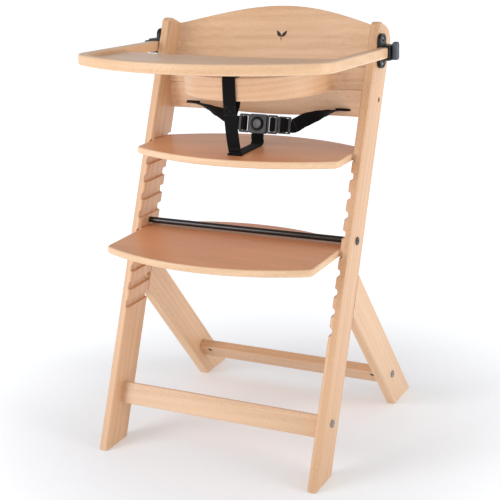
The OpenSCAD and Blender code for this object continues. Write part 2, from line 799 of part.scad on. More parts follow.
// Housing with a side pocket for each tongue and a bore for its button
module buckle_housing() {
    pocket_t = tongue_t + 0.4;
    color("dimgray") in_buckle() difference() {
        rotate([90, 0, 0]) translate([0, 0, -buckle_t / 2]) linear_extrude(buckle_t)
            round_rect(buckle_w, buckle_h, 6);
        for (s = [-1, 1]) translate([s * (buckle_w / 2 - tongue_in / 2), 0, 0])
            cube([tongue_in + 1, pocket_t, tongue_tall + 0.4], center = true);
        rotate([90, 0, 0]) cylinder(h = buckle_t, d = button_d + 0.2);
        rotate([90, 0, 0]) translate([0, 0, -4]) cylinder(h = 5, d = 10);
    }
}

module buckle_button() {
    back = tongue_t / 2 + 0.2 + button_travel;
    color("darkgray") in_buckle() rotate([90, 0, 0]) translate([0, 0, back])
        cylinder(h = buckle_t / 2 + 1.2 - back, d = button_d);
}

// The button's spring, at the length it has when the button is pressed home
module button_spring() {
    color("silver") in_buckle() rotate([90, 0, 0]) translate([0, 0, -3.9]) difference() {
        cylinder(h = 5, d = 8.4);
        translate([0, 0, -1]) cylinder(h = 7, d = 6.4);
    }
}

// A tongue: its blade in the housing's pocket and a loop that the belt runs through
module buckle_tongue(side) {
    color("dimgray") in_buckle() on_side(side) {
        translate([loop_x - tongue_in + 0.6, -tongue_t / 2, -tongue_tall / 2])
            cube([tongue_in + 2, tongue_t, tongue_tall]);
        translate([loop_x + loop_w / 2, 0, 0]) difference() {
            rotate([90, 0, 0]) translate([0, 0, -loop_t / 2]) linear_extrude(loop_t)
                round_rect(loop_w, buckle_h - 1, 4);
            for (k = [0.24, 0.68]) translate([loop_w * (k - 0.5), 0, 0])
                cube([loop_w * 0.22, buckle_t, web_w + 1.5], center = true);
        }
    }
}

module buckle_tongue_left() { buckle_tongue(-1); }
module buckle_tongue_right() { buckle_tongue(1); }

// Three-bar slide that sets the length of the right lap belt
module belt_adjuster() {
    color("dimgray") in_buckle() translate([adjuster_x + adjuster_w / 2, 0, 0]) difference() {
        rotate([90, 0, 0]) translate([0, 0, -2]) linear_extrude(4)
            round_rect(adjuster_w, adjuster_h, 3);
        for (k = [-1, 1]) translate([k * adjuster_w * 0.22, 0, 0])
            cube([adjuster_w * 0.2, 6, web_w + 2], center = true);
    }
}

post_left();
post_right();
rear_leg_left();
rear_leg_right();
leg_dowels();
front_stretcher();
rear_stretcher();
stretcher_bolts();
barrel_nuts();
stretcher_dowels();
backrest();
backrest_screws();
lower_back_panel();
panel_screws();
guard_rail();
rail_dowels();
seat_plate();
footrest_plate();
tie_tube();
tie_bolts();
tray();
clamp_bracket_left();
clamp_bracket_right();
clamp_screws();
clamp_knob_left();
clamp_knob_right();
knob_stud_left();
knob_stud_right();
crotch_strap_front();
crotch_strap_rear();
lap_belt_left();
lap_belt_right();
belt_stops();
buckle_housing();
buckle_button();
button_spring();
buckle_tongue_left();
buckle_tongue_right();
belt_adjuster();
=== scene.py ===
# Wooden grow-along high chair: beech posts and boards, bent backrest and rail, clamped tray, black lap harness.
import bpy
import bmesh
from math import radians, pi, sin, cos, sqrt, atan2
from mathutils import Matrix, Vector


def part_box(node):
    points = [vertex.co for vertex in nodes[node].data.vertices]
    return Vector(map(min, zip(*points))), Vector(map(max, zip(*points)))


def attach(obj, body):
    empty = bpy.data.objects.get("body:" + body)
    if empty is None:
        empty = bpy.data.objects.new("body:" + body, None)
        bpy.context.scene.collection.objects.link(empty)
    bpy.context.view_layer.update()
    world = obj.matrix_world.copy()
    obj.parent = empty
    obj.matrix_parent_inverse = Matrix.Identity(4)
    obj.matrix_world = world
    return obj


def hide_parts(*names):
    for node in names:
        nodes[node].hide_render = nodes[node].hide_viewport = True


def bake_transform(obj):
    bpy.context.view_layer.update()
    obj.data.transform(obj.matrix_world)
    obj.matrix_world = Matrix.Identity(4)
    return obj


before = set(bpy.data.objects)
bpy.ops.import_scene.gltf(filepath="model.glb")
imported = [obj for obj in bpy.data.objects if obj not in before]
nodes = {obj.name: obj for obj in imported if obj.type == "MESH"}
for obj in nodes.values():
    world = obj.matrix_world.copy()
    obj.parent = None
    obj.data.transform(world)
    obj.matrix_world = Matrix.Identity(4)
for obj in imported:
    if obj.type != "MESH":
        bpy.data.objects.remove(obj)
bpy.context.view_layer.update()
print("frame loaded:", len(nodes), "nodes")

camera = {"place": (1.0317, -2.0100, 1.0739), "yaw": 27.2157, "pitch": 17.3862, "roll": -2.2855, "lens": 87.098}


def makeCamera(c):
    yaw, pitch, roll = radians(c["yaw"]), radians(c["pitch"]), radians(c["roll"])
    look = Vector((-sin(yaw) * cos(pitch), cos(yaw) * cos(pitch), -sin(pitch)))
    right = Vector((cos(yaw), sin(yaw), 0))
    up = right.cross(look)
    x = right * cos(roll) + up * sin(roll)
    y = up * cos(roll) - right * sin(roll)
    data = bpy.data.cameras.new("camera")
    data.lens = c["lens"]
    data.sensor_width = 36
    cam = bpy.data.objects.new("camera", data)
    cam.matrix_world = Matrix.Translation(c["place"]) @ Matrix((x, y, -look)).transposed().to_4x4()
    bpy.context.scene.collection.objects.link(cam)
    bpy.context.scene.camera = cam


makeCamera(camera)


def put(tree, kind, settings, ins):  # a node with its settings, its inputs linked or fixed
    made = tree.nodes.new(kind)
    for key, value in settings.items():
        setattr(made, key, value)
    for key, value in ins.items():
        if isinstance(value, bpy.types.NodeSocket):
            tree.links.new(value, made.inputs[key])
        else:
            made.inputs[key].default_value = value
    return made


def calc(tree, operation, a, b=0.0, clamp=False):
    return put(tree, "ShaderNodeMath", {"operation": operation, "use_clamp": clamp}, {0: a, 1: b}).outputs[0]


def stretched(tree, vector, by):
    return put(tree, "ShaderNodeVectorMath", {"operation": "MULTIPLY"}, {0: vector, 1: by}).outputs[0]


def noisy(tree, vector, scale, detail=2.0, rough=0.5):
    return put(tree, "ShaderNodeTexNoise", {}, {"Vector": vector, "Scale": scale, "Detail": detail,
               "Roughness": rough}).outputs[0]


def spread(tree, value, low, high, toLow=0.0, toHigh=1.0):
    return put(tree, "ShaderNodeMapRange", {"interpolation_type": "SMOOTHSTEP"},
               {0: value, 1: low, 2: high, 3: toLow, 4: toHigh}).outputs[0]


def mixed(tree, factor, a, b):
    return put(tree, "ShaderNodeMix", {"data_type": "RGBA"}, {0: factor, 6: a, 7: b}).outputs[2]


def newGroup(name, ins, outs):
    tree = bpy.data.node_groups.new(name, "ShaderNodeTree")
    for label, kind, value in ins:
        made = tree.interface.new_socket(label, in_out="INPUT", socket_type=kind)
        if value is not None:
            made.default_value = value
    for label, kind in outs:
        tree.interface.new_socket(label, in_out="OUTPUT", socket_type=kind)
    return tree, tree.nodes.new("NodeGroupInput").outputs, tree.nodes.new("NodeGroupOutput").inputs


def makeWoodGrain():  # beech with its grain along X: streaks, growth rings, short dark flecks
    tree, given, out = newGroup("woodGrain", [
        ("Vector", "NodeSocketVector", None), ("Light", "NodeSocketColor", (0.8, 0.6, 0.4, 1)),
        ("Dark", "NodeSocketColor", (0.6, 0.4, 0.25, 1)), ("Streak", "NodeSocketFloat", 0.5),
        ("Figure", "NodeSocketFloat", 0.4), ("Fleck", "NodeSocketFloat", 0.3), ("Ring", "NodeSocketFloat", 40.0),
        ("Gloss", "NodeSocketFloat", 0.38)],
        [("Color", "NodeSocketColor"), ("Roughness", "NodeSocketFloat"), ("Height", "NodeSocketFloat")])
    at = given["Vector"]
    fine = noisy(tree, stretched(tree, at, (4, 170, 170)), 1, 4, 0.62)
    slow = noisy(tree, stretched(tree, at, (1.3, 15, 15)), 1, 2)
    wave = put(tree, "ShaderNodeTexWave", {"wave_type": "RINGS", "rings_direction": "X", "wave_profile": "SIN"},
               {"Vector": stretched(tree, at, (0.3, 1, 1)), "Scale": given["Ring"], "Distortion": 3.2,
                "Detail": 2.0, "Detail Scale": 0.16, "Detail Roughness": 0.5}).outputs["Fac"]
    fleckHere = spread(tree, noisy(tree, stretched(tree, at, (330, 1500, 1500)), 1, 0), 0.60, 0.72)
    fleckHere = calc(tree, "MULTIPLY", fleckHere, spread(tree, slow, 0.35, 0.6, 0.35, 1.0))
    tone = calc(tree, "ADD", calc(tree, "MULTIPLY", spread(tree, fine, 0.3, 0.72), given["Streak"]),
                calc(tree, "MULTIPLY", spread(tree, wave, 0.0, 1.0), given["Figure"]))
    tone = calc(tree, "ADD", tone, spread(tree, slow, 0.3, 0.7, -0.16, 0.22), True)
    color = mixed(tree, tone, given["Light"], given["Dark"])
    color = mixed(tree, calc(tree, "MULTIPLY", fleckHere, given["Fleck"]), color, (0.30, 0.15, 0.075, 1))
    tree.links.new(color, out["Color"])
    tree.links.new(calc(tree, "ADD", given["Gloss"], calc(tree, "MULTIPLY", fine, 0.1)), out["Roughness"])
    pores = calc(tree, "MULTIPLY", fleckHere, 0.5)
    tree.links.new(calc(tree, "SUBTRACT", calc(tree, "MULTIPLY", fine, 0.6), pores), out["Height"])
    return tree


def makeMoulded():  # moulded plastic or paint: fine spark texture, faint handling marks, a painted sheen on the rounded edges
    tree, given, out = newGroup("moulded", [
        ("Vector", "NodeSocketVector", None), ("Base", "NodeSocketColor", (0.03, 0.03, 0.03, 1)),
        ("SheenAndMarks", "NodeSocketColor", (0.12, 0.12, 0.12, 1)), ("Edge", "NodeSocketFloat", 0.0),
        ("Texture", "NodeSocketFloat", 2600.0), ("Gloss", "NodeSocketFloat", 0.4)],
        [("Color", "NodeSocketColor"), ("Roughness", "NodeSocketFloat"), ("Height", "NodeSocketFloat")])
    spark = noisy(tree, given["Vector"], given["Texture"], 1)
    marks = noisy(tree, stretched(tree, given["Vector"], (60, 90, 200)), 1, 3, 0.6)
    # painted sheen on the rounded edges, broken up by the handling marks
    sheenAndMarks = calc(tree, "MULTIPLY", given["Edge"], spread(tree, marks, 0.3, 0.75, 0.25, 0.8))
    color = mixed(tree, sheenAndMarks, given["Base"], given["SheenAndMarks"])
    color = mixed(tree, spread(tree, marks, 0.5, 0.9, 0.0, 0.25), color, given["SheenAndMarks"])
    tree.links.new(color, out["Color"])
    dulled = spread(tree, marks, 0.2, 0.8, -0.05, 0.12)
    tree.links.new(calc(tree, "ADD", given["Gloss"], dulled), out["Roughness"])
    tree.links.new(spark, out["Height"])
    return tree


def makeWeave():  # ribbed harness webbing, its colour following its height: painted shade in the hollows, painted highlight on the crowns and raised selvedges; UV runs along the strap and across it, in metres
    tree, given, out = newGroup("webbingWeave", [
        ("Along", "NodeSocketFloat", None), ("Across", "NodeSocketFloat", None),
        ("Half", "NodeSocketFloat", 0.013), ("Yarn", "NodeSocketColor", (0.01, 0.01, 0.011, 1)),
        ("CrownHighlight", "NodeSocketColor", (0.04, 0.04, 0.043, 1))],
        [("Color", "NodeSocketColor"), ("Roughness", "NodeSocketFloat"), ("Height", "NodeSocketFloat")])
    zig = calc(tree, "FRACT", calc(tree, "MULTIPLY", given["Across"], 190.0))
    zig = calc(tree, "ABSOLUTE", calc(tree, "SUBTRACT", zig, 0.5))
    rib = calc(tree, "ADD", given["Along"], calc(tree, "MULTIPLY", zig, 0.0022))
    rib = calc(tree, "SINE", calc(tree, "MULTIPLY", rib, 4600.0))
    warp = calc(tree, "SINE", calc(tree, "MULTIPLY", given["Across"], 7200.0))
    weave = calc(tree, "ADD", calc(tree, "MULTIPLY", warp, 0.15), 0.5)
    weave = calc(tree, "ADD", calc(tree, "MULTIPLY", rib, 0.35), weave)
    spot = put(tree, "ShaderNodeCombineXYZ", {}, {0: given["Along"], 1: given["Across"]}).outputs[0]
    fuzz = noisy(tree, spot, 900, 2)
    side = spread(tree, calc(tree, "ABSOLUTE", given["Across"]), calc(tree, "SUBTRACT", given["Half"], 0.0019),
                  calc(tree, "SUBTRACT", given["Half"], 0.0011))
    # painted shade and highlight: the weave's hollows darker, its crowns paler
    color = mixed(tree, calc(tree, "MULTIPLY", weave, fuzz), given["Yarn"], given["CrownHighlight"])
    # painted highlight along the raised selvedges
    color = mixed(tree, calc(tree, "MULTIPLY", side, 0.35), color, given["CrownHighlight"])
    tree.links.new(color, out["Color"])
    tree.links.new(spread(tree, fuzz, 0.2, 0.8, 0.66, 0.84), out["Roughness"])
    tree.links.new(calc(tree, "ADD", weave, calc(tree, "MULTIPLY", side, 0.6)), out["Height"])
    return tree


def makeRolled():  # rolled or turned metal: fine lines along X, dull zinc patches
    tree, given, out = newGroup("rolledMetal", [
        ("Vector", "NodeSocketVector", None), ("Bright", "NodeSocketColor", (0.6, 0.6, 0.6, 1)),
        ("Dull", "NodeSocketColor", (0.35, 0.35, 0.35, 1)), ("Gloss", "NodeSocketFloat", 0.3)],
        [("Color", "NodeSocketColor"), ("Roughness", "NodeSocketFloat"), ("Height", "NodeSocketFloat")])
    lines = noisy(tree, stretched(tree, given["Vector"], (120, 3200, 3200)), 1, 2)
    patch = noisy(tree, given["Vector"], 420, 3, 0.6)
    tree.links.new(mixed(tree, spread(tree, patch, 0.35, 0.7), given["Bright"], given["Dull"]), out["Color"])
    tree.links.new(calc(tree, "ADD", given["Gloss"], spread(tree, patch, 0.2, 0.8, 0.0, 0.16)), out["Roughness"])
    tree.links.new(lines, out["Height"])
    return tree


groups = {"wood": makeWoodGrain(), "moulded": makeMoulded(), "weave": makeWeave(), "rolled": makeRolled()}


def startMaterial(name):
    made = bpy.data.materials.new(name)
    made.use_nodes = True
    return made, made.node_tree, made.node_tree.nodes["Principled BSDF"]


def useGroup(tree, group, ins):
    made = put(tree, "ShaderNodeGroup", {"node_tree": groups[group]}, ins)
    return made.outputs


def wireUp(tree, shader, effect, bump, depth):  # a group's colour, roughness and height into the shader
    tree.links.new(effect["Color"], shader.inputs["Base Color"])
    tree.links.new(effect["Roughness"], shader.inputs["Roughness"])
    bumped = put(tree, "ShaderNodeBump", {}, {"Strength": bump, "Distance": depth, "Height": effect["Height"]})
    tree.links.new(bumped.outputs[0], shader.inputs["Normal"])


lean, rake, tilt = radians(23), radians(39.3), radians(15)  # posts, rear legs, buckle
postHigh, postFoot = 0.803, 0.2353962  # posts' height, and how far forward their front edges meet the floor
outerX, innerX = 0.232, 0.213  # outer and inner faces of the posts
postTurn, legTurn = (lean, pi / 2, 0), (-rake, pi / 2, 0)  # bring their grain onto X

woods = {  # light and dark tone, a painted-shade tone for the boards' flat faces, then the grain's turn, shift and rings
    "postBeech": {"light": (0.745, 0.463, 0.270), "dark": (0.612, 0.336, 0.171),
                  "turn": postTurn, "shift": (0.3, 0.06, 0.021), "ring": 34},
    "postBeechRight": {"light": (0.734, 0.453, 0.261), "dark": (0.602, 0.332, 0.167),
                       "turn": postTurn, "shift": (1.7, 0.045, 0.034), "ring": 30},
    "legBeech": {"light": (0.806, 0.526, 0.320), "dark": (0.678, 0.400, 0.216),
                 "turn": legTurn, "shift": (2.3, 0.05, 0.012), "ring": 36},
    "stretcherBeech": {"light": (0.760, 0.497, 0.306), "dark": (0.653, 0.395, 0.225),
                       "turn": (0.3, 0.03, 0), "shift": (0.9, 0.03, 0.05), "ring": 40},
    "backBeech": {"light": (0.806, 0.528, 0.330), "dark": (0.658, 0.375, 0.194),
                  "turn": (-lean, 0.05, 0.02), "shift": (0.4, 0.11, 0.35), "ring": 16},
    "railBeech": {"light": (0.796, 0.535, 0.345), "dark": (0.643, 0.366, 0.184),
                  "turn": (0, 0.06, 0), "shift": (0.2, 0.05, 0.1), "ring": 26, "path": "grain"},
    # paler than the other beech: painted fill light for the panel's shade under the tray
    "panelBeechPaintedFill": {"light": (0.930, 0.655, 0.440), "dark": (0.800, 0.505, 0.300),
                   "turn": (0.1, 0.05, 0.04), "shift": (0.6, 0.02, 0.07), "ring": 26},
    # the face tone of the seat, footrest and tray is painted shade on their flat faces
    "boardBeech": {"light": (0.816, 0.556, 0.347), "dark": (0.714, 0.444, 0.252), "face": (0.704, 0.327, 0.153),
                   "turn": (0.02, 0.05, 0.07), "shift": (1.1, 0.13, 0.06), "ring": 22},
    "trayBeech": {"light": (0.780, 0.510, 0.300), "dark": (0.680, 0.405, 0.220), "face": (0.673, 0.409, 0.248),
                  "turn": (0.03, 0.03, 0.04), "shift": (0.5, 0.21, 0.04), "ring": 20},
    "dowelBeech": {"light": (0.816, 0.585, 0.378), "dark": (0.694, 0.449, 0.261),
                   "turn": (0, 0, 0), "shift": (0, 0, 0), "ring": 60},
}


def makeWood(name):
    look = woods[name]
    made, tree, shader = startMaterial(name)
    if "path" in look:
        at = put(tree, "ShaderNodeAttribute", {"attribute_name": look["path"]}, {}).outputs["Vector"]
    else:
        at = put(tree, "ShaderNodeTexCoord", {}, {}).outputs["Object"]
    at = put(tree, "ShaderNodeMapping", {}, {"Vector": at, "Rotation": look["turn"],
                                             "Location": look["shift"]}).outputs[0]
    light, dark = look["light"] + (1,), look["dark"] + (1,)
    edge = put(tree, "ShaderNodeAttribute", {"attribute_name": "edge"}, {}).outputs["Fac"]
    if "face" in look:  # painted shade: the flat top and bottom faces are darker and redder than the edges, standing for the weaker light from above, with part of it the boards' own redder face
        up = put(tree, "ShaderNodeTexCoord", {}, {}).outputs["Normal"]
        up = put(tree, "ShaderNodeSeparateXYZ", {}, {0: up}).outputs[2]
        flat = spread(tree, calc(tree, "ABSOLUTE", up), 0.80, 0.985)
        face = look["face"]
        light = mixed(tree, flat, light, tuple(v * 1.07 for v in face) + (1,))
        dark = mixed(tree, flat, dark, tuple(v * 0.88 for v in face) + (1,))
    effect = useGroup(tree, "wood", {"Vector": at, "Light": light, "Dark": dark, "Streak": 0.42, "Figure": 0.26,
                                     "Fleck": 0.42, "Ring": look["ring"], "Gloss": 0.36})
    wireUp(tree, shader, effect, 0.22, 0.00025)
    rubbed = mixed(tree, calc(tree, "MULTIPLY", edge, 0.35), effect["Color"], (0.84, 0.62, 0.43, 1))
    tree.links.new(rubbed, shader.inputs["Base Color"])
    shader.inputs["Coat Weight"].default_value = 0.22
    shader.inputs["Coat Roughness"].default_value = 0.2
    return made


mouldings = {  # base tone and the tone of the painted edge sheen and handling marks, roughness, then what differs in texture, bump and shine
    "clampPlastic": {"base": (0.008, 0.008, 0.010), "sheenAndMarks": (0.06, 0.06, 0.065), "gloss": 0.30, "shine": 0.25},
    "knobPlastic": {"base": (0.085, 0.095, 0.11), "sheenAndMarks": (0.22, 0.23, 0.25), "gloss": 0.42},
    "bucklePlastic": {"base": (0.040, 0.041, 0.045), "sheenAndMarks": (0.17, 0.17, 0.18), "gloss": 0.32, "shine": 0.3},
    "collarPlastic": {"base": (0.006, 0.006, 0.007), "sheenAndMarks": (0.02, 0.02, 0.022), "gloss": 0.3, "shine": 0.12},
    "buttonPlastic": {"base": (0.13, 0.13, 0.135), "sheenAndMarks": (0.30, 0.30, 0.31), "gloss": 0.34},
    "tubePaint": {"base": (0.006, 0.006, 0.007), "sheenAndMarks": (0.02, 0.02, 0.02), "gloss": 0.12,
                  "texture": 900.0, "bump": 0.04, "shine": 0.6},
    "boltPaint": {"base": (0.03, 0.03, 0.032), "sheenAndMarks": (0.14, 0.14, 0.14), "gloss": 0.3},
    "leafInk": {"base": (0.045, 0.03, 0.022), "sheenAndMarks": (0.12, 0.08, 0.06), "gloss": 0.45},
}


def makePlastic(name):
    look = mouldings[name]
    made, tree, shader = startMaterial(name)
    at = put(tree, "ShaderNodeTexCoord", {}, {}).outputs["Object"]
    edge = put(tree, "ShaderNodeAttribute", {"attribute_name": "edge"}, {}).outputs["Fac"]
    effect = useGroup(tree, "moulded", {"Vector": at, "Base": look["base"] + (1,), "SheenAndMarks": look["sheenAndMarks"] + (1,),
                                        "Edge": edge, "Texture": look.get("texture", 2600.0),
                                        "Gloss": look["gloss"]})
    wireUp(tree, shader, effect, look.get("bump", 0.18), 0.0001)
    shader.inputs["Specular IOR Level"].default_value = look.get("shine", 0.3)
    return made


metals = {
    "zincSteel": {"bright": (0.42, 0.42, 0.43), "dull": (0.20, 0.20, 0.21), "gloss": 0.30},
    "nutSteel": {"bright": (0.12, 0.12, 0.125), "dull": (0.05, 0.05, 0.052), "gloss": 0.34},
}


def makeMetal(name):
    look = metals[name]
    made, tree, shader = startMaterial(name)
    at = put(tree, "ShaderNodeTexCoord", {}, {}).outputs["Object"]
    effect = useGroup(tree, "rolled", {"Vector": at, "Bright": look["bright"] + (1,),
                                       "Dull": look["dull"] + (1,), "Gloss": look["gloss"]})
    wireUp(tree, shader, effect, 0.12, 0.00005)
    shader.inputs["Metallic"].default_value = 1.0
    return made


# the crown tone is the painted highlight on the weave's raised crowns
webbing = {"width": 0.0265, "thick": 0.0016, "yarn": (0.003, 0.003, 0.0033),
           "crownHighlight": (0.013, 0.013, 0.0142), "thread": (0.012, 0.012, 0.013)}


def makeWebbing():
    made, tree, shader = startMaterial("harnessWebbing")
    uv = put(tree, "ShaderNodeUVMap", {"uv_map": "UVMap"}, {}).outputs[0]
    parts = put(tree, "ShaderNodeSeparateXYZ", {}, {0: uv}).outputs
    effect = useGroup(tree, "weave", {"Along": parts[0], "Across": parts[1], "Half": webbing["width"] / 2,
                                      "Yarn": webbing["yarn"] + (1,), "CrownHighlight": webbing["crownHighlight"] + (1,)})
    wireUp(tree, shader, effect, 0.5, 0.0003)
    shader.inputs["Specular IOR Level"].default_value = 0.08
    shader.inputs["Sheen Weight"].default_value = 0.03
    shader.inputs["Sheen Roughness"].default_value = 0.45
    return made


def makeThread():
    made, tree, shader = startMaterial("sewingThread")
    at = put(tree, "ShaderNodeTexCoord", {}, {}).outputs["Object"]
    twist = noisy(tree, stretched(tree, at, (5200, 5200, 1800)), 1, 1)
    color = mixed(tree, twist, webbing["thread"] + (1,), (0.05, 0.05, 0.052, 1))
    tree.links.new(color, shader.inputs["Base Color"])
    bumped = put(tree, "ShaderNodeBump", {}, {"Strength": 0.4, "Distance": 0.0001, "Height": twist})
    tree.links.new(bumped.outputs[0], shader.inputs["Normal"])
    shader.inputs["Roughness"].default_value = 0.5
    return made


paint = {name: makeWood(name) for name in woods}
paint.update({name: makePlastic(name) for name in mouldings})
paint.update({name: makeMetal(name) for name in metals})
paint["webbing"] = makeWebbing()
paint["thread"] = makeThread()
print("finishes made:", len(paint))


def addObject(name, mesh):
    made = bpy.data.objects.new(name, mesh)
    bpy.context.scene.collection.objects.link(made)
    return made


def frozen(obj):  # the object's modifiers worked into a plain mesh
    graph = bpy.context.evaluated_depsgraph_get()
    mesh = bpy.data.meshes.new_from_object(obj.evaluated_get(graph), preserve_all_data_layers=True,
                                           depsgraph=graph)
    obj.modifiers.clear()
    obj.data = mesh
    return mesh


def settle(obj, body, finish, *replaced):  # attaches a finished piece to its body and hides the CAD nodes it replaces
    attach(obj, body)
    if replaced:
        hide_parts(*replaced)


sharpFrom = radians(36)


def faceOutward(mesh):  # turns slivers that a rounded arris has folded over
    mesh.calc_loop_triangles()
    folded = set()
    for t in mesh.loop_triangles:
        a, b, c = (mesh.vertices[i].co for i in t.vertices)
        if (b - a).cross(c - a).dot(mesh.polygons[t.polygon_index].normal) < 0:
            folded.add(t.polygon_index)
    bm = bmesh.new()
    bm.from_mesh(mesh)
    bm.faces.ensure_lookup_table()
    for i in sorted(folded):
        face = bm.faces[i]
        outward = face.normal.copy()
        parts = [face] if len(face.verts) == 3 else bmesh.ops.triangulate(bm, faces=[face])["faces"]
        bm.faces.ensure_lookup_table()
        for part in parts:
            part.normal_update()
            if part.normal.dot(outward) < 0:
                part.normal_flip()
    bm.to_mesh(mesh)
    bm.free()


def softEdged(node, material, width, weight, segments=3):  # a CAD node's copy with rounded arrises
    bm = bmesh.new()
    bm.from_mesh(nodes[node].data)
    bmesh.ops.remove_doubles(bm, verts=bm.verts, dist=1e-5)
    bmesh.ops.dissolve_limit(bm, angle_limit=radians(0.6), verts=bm.verts, edges=bm.edges)
    weights = bm.edges.layers.float.new("bevel_weight_edge")
    for e in bm.edges:
        if len(e.link_faces) == 2 and e.calc_face_angle(0) > sharpFrom and e.calc_length() > 0.0004:
            middle = (e.verts[0].co + e.verts[1].co) / 2
            e[weights] = weight(middle, e.calc_length())
    mesh = bpy.data.meshes.new(node + "_soft")
    bm.to_mesh(mesh)
    bm.free()
    mesh.shade_smooth()
    mesh.set_sharp_from_angle(angle=sharpFrom)
    mesh.materials.append(material)
    mesh.materials.append(paint["dowelBeech"])  # marks the rounded faces until they are measured
    obj = addObject(node + "_soft", mesh)
    bevel = obj.modifiers.new("arris", "BEVEL")
    bevel.limit_method = "WEIGHT"
    bevel.width = width
    bevel.segments = segments
    bevel.use_clamp_overlap = False
    bevel.material = 1
    mesh = frozen(obj)
    onFlat = {v for p in mesh.polygons if p.material_index == 0 for v in p.vertices}
    edge = mesh.attributes.new("edge", "FLOAT", "CORNER")
    for p in mesh.polygons:
        if p.material_index == 1:
            for i in p.loop_indices:
                edge.data[i].value = 0.2 if mesh.loops[i].vertex_index in onFlat else 1.0
            p.material_index = 0
    mesh.materials.pop(index=1)
    faceOutward(mesh)
    mesh.set_sharp_from_angle(angle=sharpFrom)
    level = obj.modifiers.new("level", "WEIGHTED_NORMAL")
    level.keep_sharp = True
    level.weight = 80
    frozen(obj)
    return obj


slot = {"x": 0.162, "half": 0.0165, "z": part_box("guard_rail")[0].z - 0.039}  # belt slots of the panel
arrises = {"post": 0.003, "leg": 0.003, "bar": 0.0022, "board": 0.0036, "back": 0.0028, "panel": 0.0026,
           "rail": 0.0026, "tray": 0.0036, "bracket": 0.0012, "buckle": 0.0009}


def onPost(p):  # a point's distance up the posts and back across them
    y = p.y + postFoot
    return y * sin(lean) + p.z * cos(lean), y * cos(lean) - p.z * sin(lean)


def postArris(p, length):  # share of the full rounding, from an edge's middle and length
    up, across = onPost(p)
    if abs(p.x) > outerX - 0.0002 and 0.005 < across < 0.063 and p.z > 0.01:
        if up < 0.82 or length < 0.0035 and up < 0.85:
            return 0.0  # rims of the screw holes stay sharp
    return 1.0 if up > postHigh / cos(lean) - 0.0286 else 0.8 if p.z < 0.001 else 0.3


def legArris(p, length):  # tight where a leg butts against its post
    return 0.12 if abs(onPost(p)[1] - 0.068) < 0.0012 else 0.25 if length < 0.0015 else 1.0


def barArris(p, length):
    return 0.12 if abs(p.x) > innerX - 0.0005 else 0.2 if length < 0.003 else 1.0


def boardArris(p, length):
    return 0.25 if abs(p.x) > innerX - 0.0002 else 1.0


def bentArris(p, length):
    if abs(p.x) > innerX - 0.0005:
        return 0.12
    if abs(abs(p.x) - slot["x"]) < slot["half"] and abs(p.z - slot["z"]) < 0.004:
        return 0.3
    return 0.15 if length < 0.0011 else 1.0


def evenArris(p, length):
    return 1.0


woodPieces = [  # node, finish, arris, where it is rounded, slot name, body
    ("post_left", "postBeech", "post", postArris, "frame_wood", "frame"),
    ("post_right", "postBeechRight", "post", postArris, "frame_wood", "frame"),
    ("rear_leg_left", "legBeech", "leg", legArris, "frame_wood", "frame"),
    ("rear_leg_right", "legBeech", "leg", legArris, "frame_wood", "frame"),
    ("front_stretcher", "stretcherBeech", "bar", barArris, "frame_wood", "frame"),
    ("rear_stretcher", "stretcherBeech", "bar", barArris, "frame_wood", "frame"),
    ("backrest", "backBeech", "back", bentArris, "bent_wood", "frame"),
    ("lower_back_panel", "panelBeechPaintedFill", "panel", bentArris, "bent_wood", "frame"),
    ("guard_rail", "railBeech", "rail", bentArris, "bent_wood", "frame"),
    ("seat_plate", "boardBeech", "board", boardArris, "board_wood", "seat"),
    ("footrest_plate", "boardBeech", "board", boardArris, "board_wood", "footrest"),
    ("tray", "trayBeech", "tray", evenArris, "tray_wood", "tray"),
]
railLo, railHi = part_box("guard_rail")
bowR = 0.146  # outer bend of the guard rail


def layAlongBow(obj):  # the rail's grain follows its bend
    lay = obj.data.attributes.new("grain", "FLOAT_VECTOR", "POINT")
    for i, v in enumerate(obj.data.vertices):
        x, y = v.co.x, v.co.y - railLo.y - bowR
        if y < 0:
            lay.data[i].vector = (bowR * atan2(x, -y), sqrt(x * x + y * y) - bowR, v.co.z)
        else:
            run = bowR * pi / 2 + y + max(0, abs(x) - bowR)
            lay.data[i].vector = (run if x > 0 else -run, y, v.co.z)


for node, finish, arris, rule, recordSlot, body in woodPieces:
    piece = softEdged(node, paint[finish], arrises[arris], rule)
    if node == "guard_rail":
        layAlongBow(piece)
    settle(piece, body, recordSlot, node)
print("wooden pieces rounded:", len(woodPieces))

hardPieces = [  # node, finish, arris, slot name, body
    ("clamp_bracket_left", "clampPlastic", "bracket", "black_plastic", "frame"),
    ("clamp_bracket_right", "clampPlastic", "bracket", "black_plastic", "frame"),
    ("buckle_housing", "bucklePlastic", "buckle", "black_plastic", "frame"),
    ("buckle_tongue_left", "bucklePlastic", "buckle", "black_plastic", "tongue_left"),
    ("buckle_tongue_right", "bucklePlastic", "buckle", "black_plastic", "tongue_right"),
    ("belt_adjuster", "bucklePlastic", "buckle", "black_plastic", "tongue_right"),
]
for node, finish, arris, recordSlot, body in hardPieces:
    settle(softEdged(node, paint[finish], arrises[arris], evenArris), body, recordSlot, node)
steelPieces = [  # node, finish, arris, slot name
    ("stretcher_bolts", "zincSteel", 0.0006, "steel"),
    ("tie_bolts", "boltPaint", 0.0006, "dark_steel"),
    ("barrel_nuts", "nutSteel", 0.0005, "steel"),
]
for node, finish, width, recordSlot in steelPieces:
    settle(softEdged(node, paint[finish], width, evenArris, 2), "frame", recordSlot, node)


def roundedRing(bm, wide, tall, radius, height):  # a rounded rectangle of points at one height
    ring, w, t = [], wide / 2 - radius, tall / 2 - radius
    for cx, cy, start in ((1, 1, 0), (-1, 1, 90), (-1, -1, 180), (1, -1, 270)):
        for k in range(9):
            a = radians(start + 90 * k / 8)
            ring.append(bm.verts.new((cx * w + radius * cos(a), cy * t + radius * sin(a), height)))
    return ring


